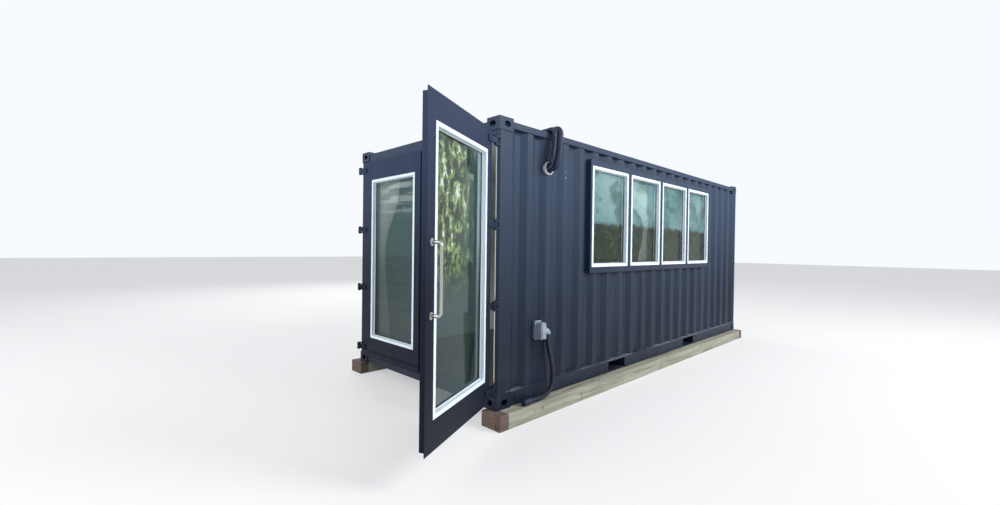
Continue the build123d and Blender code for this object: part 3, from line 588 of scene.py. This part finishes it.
# The jambs' brightest white is painted light, to show them bright in the leaf's shade.
jamb = Finish("jamb_board", roughness=0.5)
scuffed = jamb.noise(9, 4)
jamb.complete(jamb.mix(scuffed.between(0.5, 0.8), shade(248, 250, 252), shade(214, 218, 222)),
              bump=scuffed, depth=0.0003)
coat(jamb.material, "door_jambs")
lining_low, lining_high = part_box("lining_left")
lining_in = lining_low.y
board_wide = 1.2
strip_half = 0.012
strip_thick = 0.0025
strips = bmesh.new()
strip_x = lining_low.x + board_wide
while strip_x < lining_high.x:
    slab(strips, Matrix(), (strip_x - strip_half, lining_in - strip_thick, lining_low.z),
         (strip_x + strip_half, lining_in, lining_high.z), round_by=0.0008)
    slab(strips, Matrix(), (strip_x - strip_half, -lining_in, lining_high.z - strip_thick),
         (strip_x + strip_half, lining_in, lining_high.z), round_by=0.0008)
    strip_x += board_wide
made("lining_strips", strips, board.material, "cabin")


# Floor: plywood boards screwed down over the steel crossmembers, grey-brown and kept dark as painted shade
# of the dim room, with their grain along the cabin and a dark joint every 1.2 m.
ply = Finish("floor_ply", roughness=0.5)
ply_grain = ply.noise(30, 5, (0.06, 1, 1))
ply_joint = 1 - ply.axis("X").to_and_fro(board_wide / 2).between(0.002, 0.004)
# The dark grey-brown tones stand as painted shade for the dim room.
ply_tone = ply.mix(ply_grain.between(0.3, 0.7), shade(72, 64, 56), shade(100, 90, 78))
ply.complete(ply.mix(ply_joint, ply_tone, shade(46, 36, 28)), (0.4 + 0.25 * ply_grain).held(),
             ply_grain - ply_joint * 2, 0.0006)
coat(ply.material, "floor_boards")


# Pull handle: a bent tube of brushed steel on two roses, each with a collar round the tube and three
# domed screws. The curtain rods are of the same steel.
satin = Finish("satin_metal", metallic=1.0, anisotropic=0.3)
brushed = satin.noise(500, 2, (1, 1, 0.02))
satin.complete(satin.mix(brushed, shade(168, 168, 164), shade(200, 200, 196)), (0.2 + 0.12 * brushed).held(),
               brushed, 0.0001)
coat(satin.material, "pull_handle", "window_curtain_rod", "leaf_curtain_rod")
handle_r = 1.089
handle_middle = base + 1.228
handle_half = 0.2375
rose_front = plate_out + 0.008
screw_ring = 0.0205


def turned(form, place, profile, sides=20):
    """A turned form spun about place's Z axis from (radius, height) pairs, closed at both ends."""
    line = [(0, profile[0][1]), *profile, (0, profile[-1][1])]
    spots = [form.verts.new(place @ Vector((radius, 0, rise))) for radius, rise in line]
    runs = [form.edges.new(pair) for pair in zip(spots, spots[1:])]
    bmesh.ops.spin(form, geom=spots + runs, cent=place.translation, axis=place.col[2].xyz,
                   angle=2 * math.pi, steps=sides, use_merge=True)
    bmesh.ops.remove_doubles(form, verts=form.verts, dist=0.000001)


handle_collars = bmesh.new()
for rise in (handle_middle - handle_half, handle_middle + handle_half):
    collar = right_place @ Matrix.Translation((handle_r, rise, rose_front))
    turned(handle_collars, collar, [(0.0165, -0.001), (0.0165, 0.003), (0.0145, 0.0055), (0.0128, 0.006)],
           sides=28)
    for turn in (math.pi / 2, math.pi * 7 / 6, math.pi * 11 / 6):
        screw = collar @ Matrix.Translation((screw_ring * math.cos(turn), screw_ring * math.sin(turn), 0))
        turned(handle_collars, screw, [(0.0032, -0.001), (0.0032, 0.0006), (0.0024, 0.0013),
                                       (0.0009, 0.0015)], sides=14)
made("handle_collars", handle_collars, satin.material, "right_leaf")


# Door fittings: weld beads round the hinge blades, a rivet in each plate, and rubber seals in the
# corner behind the plates' borders.
hinge_rises = [base + rise for rise in (0.195, 0.928, 1.635, 2.365)]
blade_start = 0.050
blade_reach = 0.128
blade_half = 0.025
plate_edge = {"right_leaf": 1.150, "left_leaf": 1.259}
rivet_spot = {"right_leaf": (1.128, base + 0.845), "left_leaf": (1.205, base + 2.330)}
seal_inset = 0.012
seal_r = 0.0405
seal_w = plate_out - 0.0066
for body, place in leaves.items():
    blade_welds = bmesh.new()
    for rise in hinge_rises:
        top, foot = rise + blade_half, rise - blade_half
        line = [(blade_start, top), (blade_reach, top), (blade_reach, foot), (blade_start, foot)]
        bead(blade_welds, [place @ Vector((r, z, plate_out)) for r, z in line], radius=0.003, step=0.006)
    turned(blade_welds, place @ Matrix.Translation((*rivet_spot[body], plate_out)),
           [(0.007, -0.001), (0.007, 0.001), (0.005, 0.003), (0.002, 0.0036)], sides=16)
    made(f"{body}_welds", blade_welds, leaf_paint.material, body, smooth=True)
    seal = bmesh.new()
    panel_low, panel_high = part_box(f"{body}_panel")
    seal_low, seal_high = panel_low.z + seal_inset, panel_high.z - seal_inset
    seal_end = plate_edge[body] - seal_inset
    for line in ([(seal_r, seal_low), (seal_r, seal_high), (seal_end, seal_high)],
                 [(seal_r, seal_low), (seal_end, seal_low)]):
        bead(seal, [place @ Vector((r, z, seal_w)) for r, z in line], radius=0.0026, step=0.05,
             ripple=0.05)
    made(f"{body}_seal", seal, rubber.material, body, smooth=True)


# Hinge seal: a pale rubber strip glued down the right door post between the hinges, a little wavy where
# it has come loose.
seal_white = Finish("pale_rubber", roughness=0.55)
seal_white.complete(seal_white.mix(seal_white.noise(11, 4), shade(222, 230, 236), shade(246, 250, 252)),
                    bump=seal_white.noise(200, 2), depth=0.0002)
strip_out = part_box("door_posts")[0].x - 0.003
strip_y = -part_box("door_posts")[1].y + 0.040
strip_gap = 0.046
strip_steps = 24
strip_slack = 0.0022
strip_waves = 4.1
hinge_seal = bmesh.new()
for low_hinge, high_hinge in zip(hinge_rises, hinge_rises[1:]):
    strip_foot, strip_top = low_hinge + strip_gap, high_hinge - strip_gap
    line = []
    for step in range(strip_steps + 1):
        rise = strip_foot + (strip_top - strip_foot) * step / strip_steps
        line.append(Vector((strip_out, strip_y - strip_slack * math.sin(strip_waves * rise) ** 2, rise)))
    bead(hinge_seal, line, radius=0.0042, step=0.03, ripple=0.12)
made("hinge_seal", hinge_seal, seal_white.material, "cabin", smooth=True)


# Pin heads: each hinge turns on a steel pin, whose domed ends show above and below the lugs. They were
# painted over together with the posts.
pin_heads = bmesh.new()
pin_head_rise = 0.0392
for pin in pins.values():
    for rise in hinge_rises:
        for side in (-1, 1):
            head = axes(Vector((pin.x, pin.y, rise + side * pin_head_rise)), Vector((1, 0, 0)),
                        Vector((0, side, 0)), Vector((0, 0, side)))
            turned(pin_heads, head, [(0.0125, -0.0005), (0.0125, 0.0025), (0.0105, 0.0052), (0.006, 0.0072),
                                     (0.001, 0.0078)], sides=18)
made("hinge_pin_heads", pin_heads, paint.material, "cabin", smooth=True)


# Power inlet: a moulded grey box with a domed, ribbed lid that is hinged at the top, a latch tab at its
# foot and four steel screws. The roof boot is of the same plastic.
grey = Finish("grey_plastic", specular_ior_level=0.45)
dusty = grey.noise(14, 4)
grey.complete(grey.mix(dusty.between(0.35, 0.7), shade(128, 140, 158), shade(158, 168, 184)),
              (0.42 + 0.2 * dusty).held(), grey.noise(500, 2), 0.0002)
coat(grey.material, "power_inlet", "roof_boot")
soften(0.0012, "power_inlet", "roof_boot")
inlet_x = door_end + 0.554
inlet_foot = base + 0.571
inlet_wide = 0.076
inlet_tall = 0.163
inlet_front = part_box("power_inlet")[0].y
inlet_face = axes(Vector((inlet_x, inlet_front, inlet_foot)), *facing_out)
lid_half = inlet_wide / 2 - 0.009
lid_foot = 0.016
lid_back = Vector((0, 0, -0.002))
lid_rise = inlet_tall - inlet_wide / 2
lid_middle = Vector((0, inlet_tall / 2, 0))
lid_line = [Vector((lid_half, lid_foot, 0))]
for turn in (math.radians(degrees) for degrees in range(0, 181, 15)):
    lid_line.append(Vector((lid_half * math.cos(turn), lid_rise + lid_half * math.sin(turn), 0)))
lid_line.append(Vector((-lid_half, lid_foot, 0)))
lid = bmesh.new()
lid_top = lid.faces.new([lid.verts.new(inlet_face @ (point + lid_back)) for point in lid_line])
for shrink, lift in ((1, 0.005), (0.97, 0.0022), (0.928, 0.0008)):
    lid_top = next(part for part in raised(lid, [lid_top]) if isinstance(part, bmesh.types.BMFace))
    step_up = Matrix.Translation(lid_middle + Vector((0, 0, lift))) @ Matrix.Diagonal((shrink, shrink, 1, 1))
    step_up = inlet_face @ step_up @ Matrix.Translation(-lid_middle) @ inlet_face.inverted()
    bmesh.ops.transform(lid, matrix=step_up, verts=lid_top.verts)
rib_half = lid_half * 0.62
for rise in (0.048, 0.074, 0.100):
    slab(lid, inlet_face, (-rib_half, rise - 0.002, 0.005), (rib_half, rise + 0.002, 0.0074),
         round_by=0.0008)
latch_half = 0.011
slab(lid, inlet_face, (-latch_half, 0.004, -0.001), (latch_half, 0.019, 0.0085), round_by=0.0018)
knuckle, groove = 0.0045, 0.0036
barrel = inlet_face @ Matrix.Translation((-0.02, lid_rise + lid_half * 0.72, 0.002))
turned(lid, barrel @ Matrix.Rotation(math.pi / 2, 4, "Y"),
       [(knuckle, 0), (knuckle, 0.013), (groove, 0.0132), (groove, 0.0148), (knuckle, 0.015),
        (knuckle, 0.025), (groove, 0.0252), (groove, 0.0268), (knuckle, 0.027), (knuckle, 0.04)], sides=16)
made("inlet_lid", lid, grey.material, "cabin")
inlet_screws = bmesh.new()
flange_out = skin_out + 0.008
inlet_screw_half = 0.04116
inlet_plate = inlet_face @ Matrix.Translation((0, 0, flange_out + inlet_front))
for across in (-inlet_screw_half, inlet_screw_half):
    for rise in (-0.003, inlet_tall + 0.003):
        turned(inlet_screws, inlet_plate @ Matrix.Translation((across, rise, 0)),
               [(0.0032, -0.002), (0.0032, 0.0007), (0.0022, 0.0014), (0.0008, 0.0016)], sides=12)
made("inlet_screws", inlet_screws, satin.material, "cabin")


# Dark covers: foam insulation on the roof pipes with tape wound round it, and the ribbed plastic of the
# conduit, whose ribs follow the hose.
cover = Finish("dark_cover", specular_ior_level=0.3)
scuffs = cover.noise(22, 4)
tape_up, tape_along = 95, 40
taped = (cover.axis("Z") * tape_up + cover.axis("X") * tape_along).wave() * 0.5 + 0.5
cover.complete(cover.mix(scuffs.between(0.42, 0.75), shade(22, 32, 56), shade(56, 70, 100)),
               (0.42 + 0.25 * scuffs).held(), taped * 0.6 + cover.noise(90, 3), 0.0009)
coat(cover.material, "roof_pipes", "conduit", "conduit_connector")
ribbed = Finish("ribbed_hose", specular_ior_level=0.35)
hose_ribs = 130
hose_uv = ribbed.add("ShaderNodeTexCoord", out="UV")
along_hose = ribbed.add("ShaderNodeSeparateXYZ", None, {"Vector": hose_uv}, out="X")
hose_dust = ribbed.noise(30, 4)
ribbed.complete(ribbed.mix(hose_dust.between(0.4, 0.75), shade(18, 24, 38), shade(46, 56, 76)),
                (0.4 + 0.25 * hose_dust).held(), (along_hose * (2 * math.pi * hose_ribs)).wave(), 0.0012)
hose_curve.materials.append(ribbed.material)


# Hose fittings: a gland nut with flats that grips the hose under the elbow, and on the connector a
# tapered collar and a ring of moulded grips.
hose_fittings = bmesh.new()
gland = axes(hose_points[0], Vector((1, 0, 0)), Vector((0, 1, 0)), Vector((0, 0, 1)))
turned(hose_fittings, gland, [(0.0245, -0.034), (0.0262, -0.030), (0.0275, -0.006), (0.0305, -0.004),
                              (0.0305, 0.014), (0.0285, 0.018)], sides=12)
plug_run = (hose_points[-1] - hose_points[-2]).normalized()
plug_across = plug_run.cross(Vector((0, 0, 1))).normalized()
plug = axes(hose_points[-1], plug_across, plug_run.cross(plug_across), plug_run)
turned(hose_fittings, plug, [(0.0235, -0.022), (0.026, -0.016), (0.0272, 0.001)], sides=24)
connector_radius = 0.029
grips = 14
for number in range(grips):
    grip = plug @ Matrix.Rotation(2 * math.pi * number / grips, 4, "Z")
    slab(hose_fittings, grip, (connector_radius - 0.002, -0.0022, 0.008),
         (connector_radius - 0.0001, 0.0022, 0.046), round_by=0.0006)
made("hose_fittings", hose_fittings, cover.material, "cabin")


# Duct sleeve: a white plastic ring through the wall, bedded in sealant, with a rolled lip that the
# pipes' covers come out of.
ring_white = Finish("sleeve_plastic", specular_ior_level=0.5)
ring_dust = ring_white.noise(18, 4)
ring_white.complete(ring_white.mix(ring_dust.between(0.4, 0.75), shade(236, 240, 246), shade(200, 204, 206)),
                    (0.35 + 0.2 * ring_dust).held(), ring_white.noise(400, 2), 0.0002)
coat(ring_white.material, "wall_sleeve")
soften(0.0035, "wall_sleeve")
sleeve_front = skin_out + 0.018
lip_radius = 0.059
lip_middle = Vector((door_end + 0.680, -sleeve_front, base + 2.216))
lip_start = Matrix.Translation(lip_middle + Vector((lip_radius, 0, 0)))
lip_round = lip_start @ Matrix.Diagonal((0.0042, 0.0035, 1, 1))
lip = bmesh.new()
bmesh.ops.create_circle(lip, segments=10, radius=1, matrix=lip_round)
bmesh.ops.spin(lip, geom=lip.verts[:] + lip.edges[:], cent=lip_middle, axis=(0, 1, 0), angle=2 * math.pi,
               steps=40, use_merge=True)
made("sleeve_lip", lip, ring_white.material, "cabin", smooth=True)


# Marks on the wall: a small hole above the inlet, plugged with dark rubber, and two old screw holes
# beside the sleeve, filled with grey filler that stands a little proud and was never painted.
hole_x = door_end + 0.524
hole_spot = Vector((hole_x, wave_depth_at(hole_x) - skin_out, base + 1.447))
wall_hole = bmesh.new()
turned(wall_hole, axes(hole_spot, *facing_out), [(0.009, -0.001), (0.009, 0.0004), (0.0078, 0.0006)],
       sides=18)
made("wall_hole", wall_hole, rubber.material, "cabin")
filler = Finish("filler", roughness=0.7)
filler.complete(filler.mix(filler.noise(80, 3), shade(112, 118, 128), shade(150, 156, 164)),
                bump=filler.noise(160, 3), depth=0.0005)
fillings = bmesh.new()
for along, rise, size in ((0.961, 2.215, 0.007), (0.962, 2.159, 0.010)):
    turned(fillings, axes(Vector((door_end + along, -skin_out, base + rise)), *facing_out),
           [(size, -0.001), (size, 0.0006), (size * 0.7, 0.0012), (size * 0.2, 0.0013)], sides=14)
made("wall_fillings", fillings, filler.material, "cabin")


# Curtains: thin white cloth hung in pleats from rings on the rods. The first is swept to the far side
# and tied; the one on the door is tied half way down towards the hinges.
cloth = Finish("curtain_cloth", roughness=0.9)
weave = cloth.noise(300, 2)
cloth.complete(cloth.mix(weave, shade(226, 228, 224), shade(242, 243, 240)), bump=weave, depth=0.0003)
pleat_depth = 0.017


def eased(fall, spots):
    """A smooth run through (fall, value) pairs."""
    for (start, first), (end, last) in zip(spots, spots[1:]):
        if fall <= end:
            share = (fall - start) / (end - start)
            return first + (last - first) * share * share * (3 - 2 * share)
    return spots[-1][1]


def curtain(node, place, left_edge, right_edge, top, foot, pleats, body):
    """A pleated cloth on its rod; each edge is given as (share of the fall, place across) pairs."""
    form = bmesh.new()
    bmesh.ops.create_grid(form, x_segments=150, y_segments=60, size=0.5)
    for vert in form.verts:
        share, fall = vert.co.x + 0.5, 0.5 - vert.co.y
        left, right = eased(fall, left_edge), eased(fall, right_edge)
        fold = math.sin(2 * math.pi * pleats * share + 0.5 * math.sin(5 * share + 3 * fall))
        sway = 0.25 * math.sin(9 * share + 4 * fall)
        vert.co = place @ Vector((left + (right - left) * share, top + (foot - top) * fall,
                                  pleat_depth * (0.75 * fold + sway)))
    piece = made(f"{node}_cloth", form, cloth.material, body, smooth=True)
    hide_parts(node)


cloth_low, cloth_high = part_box("window_curtain")
cloth_half = (cloth_high.x - cloth_low.x) / 2
cloth_middle = (cloth_low + cloth_high) / 2
hang = axes(Vector((cloth_middle.x, cloth_middle.y, 0)), *facing_out)
tied_edge = [(0, -cloth_half), (0.18, -cloth_half * 0.55), (0.5, cloth_half - 0.125),
             (0.62, cloth_half - 0.12), (1, cloth_half - 0.25)]
straight_edge = [(0, cloth_half - 0.004), (1, cloth_half - 0.004)]
curtain("window_curtain", hang, tied_edge, straight_edge, cloth_high.z, cloth_low.z, pleats=11,
        body="cabin")
leaf_cloth_low, leaf_cloth_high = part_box("leaf_curtain")
leaf_cloth_wide = leaf_cloth_high.y - leaf_cloth_low.y
leaf_hang = axes(Vector(((leaf_cloth_low.x + leaf_cloth_high.x) / 2, leaf_cloth_high.y, 0)),
                 Vector((0, -1, 0)), Vector((0, 0, 1)), Vector((-1, 0, 0)))
leaf_tied_edge = [(0, leaf_cloth_wide), (0.1, leaf_cloth_wide * 0.9), (0.43, 0.135), (0.5, 0.13), (1, 0.27)]
leaf_straight_edge = [(0, 0.004), (1, 0.004)]
curtain("leaf_curtain", leaf_hang, leaf_straight_edge, leaf_tied_edge, leaf_cloth_high.z,
        leaf_cloth_low.z, pleats=8, body="left_leaf")


# The stage: a pale floor that keeps the object's shadow, in a pale hall that the lens and mirrors see.
# What they see directly is lifted towards white, and adds no light to the object.
def seen_directly(nodes):
    """1 for what the lens, mirrors and glass see, 0 for the light that falls on the object."""
    camera, glossy, through = (nodes.add("ShaderNodeLightPath", out=f"Is {kind} Ray")
                               for kind in ("Camera", "Glossy", "Transmission"))
    return (camera + glossy + through).held()


floor_half = 60.0
floor_form = bmesh.new()
bmesh.ops.create_grid(floor_form, x_segments=1, y_segments=1, size=floor_half)
floor_mesh = bpy.data.meshes.new("stage_floor")
floor_form.to_mesh(floor_mesh)
floor_form.free()
stage_floor = bpy.data.objects.new("stage_floor", floor_mesh)
scene.collection.objects.link(stage_floor)
matting = Finish("pale_floor", roughness=0.9)
matting.complete((0.78, 0.78, 0.78))
matt = Varying(matting, matting.shader.outputs[0])
glow = matting.add("ShaderNodeEmission", None, {"Color": (0.93, 0.94, 0.96), "Strength": 1.0})
floor_seen = matting.add("ShaderNodeMixShader", None, {0: seen_directly(matting) * 0.5, 1: matt, 2: glow})
matting.feed(matting.tree.nodes["Material Output"].inputs["Surface"], floor_seen)
floor_mesh.materials.append(matting.material)

hall = bpy.data.worlds.new("hall")
scene.world = hall
hall.use_nodes = True
hall_nodes = Nodes(hall.node_tree)
background = hall.node_tree.nodes["Background"]
hall_nodes.feed(background.inputs["Color"], (0.93, 0.96, 1.0))
hall_nodes.feed(background.inputs["Strength"], 0.5 + 0.5 * seen_directly(hall_nodes))


def lamp(name, place, aim, size, power):
    """A large soft area lamp, aimed at a point."""
    data = bpy.data.lights.new(name, "AREA")
    data.size = size
    data.energy = power
    piece = bpy.data.objects.new(name, data)
    scene.collection.objects.link(piece)
    turn = (Vector(aim) - Vector(place)).to_track_quat("-Z", "Y")
    piece.matrix_world = Matrix.Translation(place) @ turn.to_matrix().to_4x4()


lamp("key", place=(2.5, -10.5, 8.5), aim=(0.5, 0, 1.2), size=5.0, power=1500)
lamp("fill", place=(-11.0, 1.0, 5.5), aim=(-3.0, -0.3, 1.2), size=6.0, power=450)
lamp("back", place=(2.5, 11.5, 8.0), aim=(0.5, 0, 1.2), size=6.0, power=700)
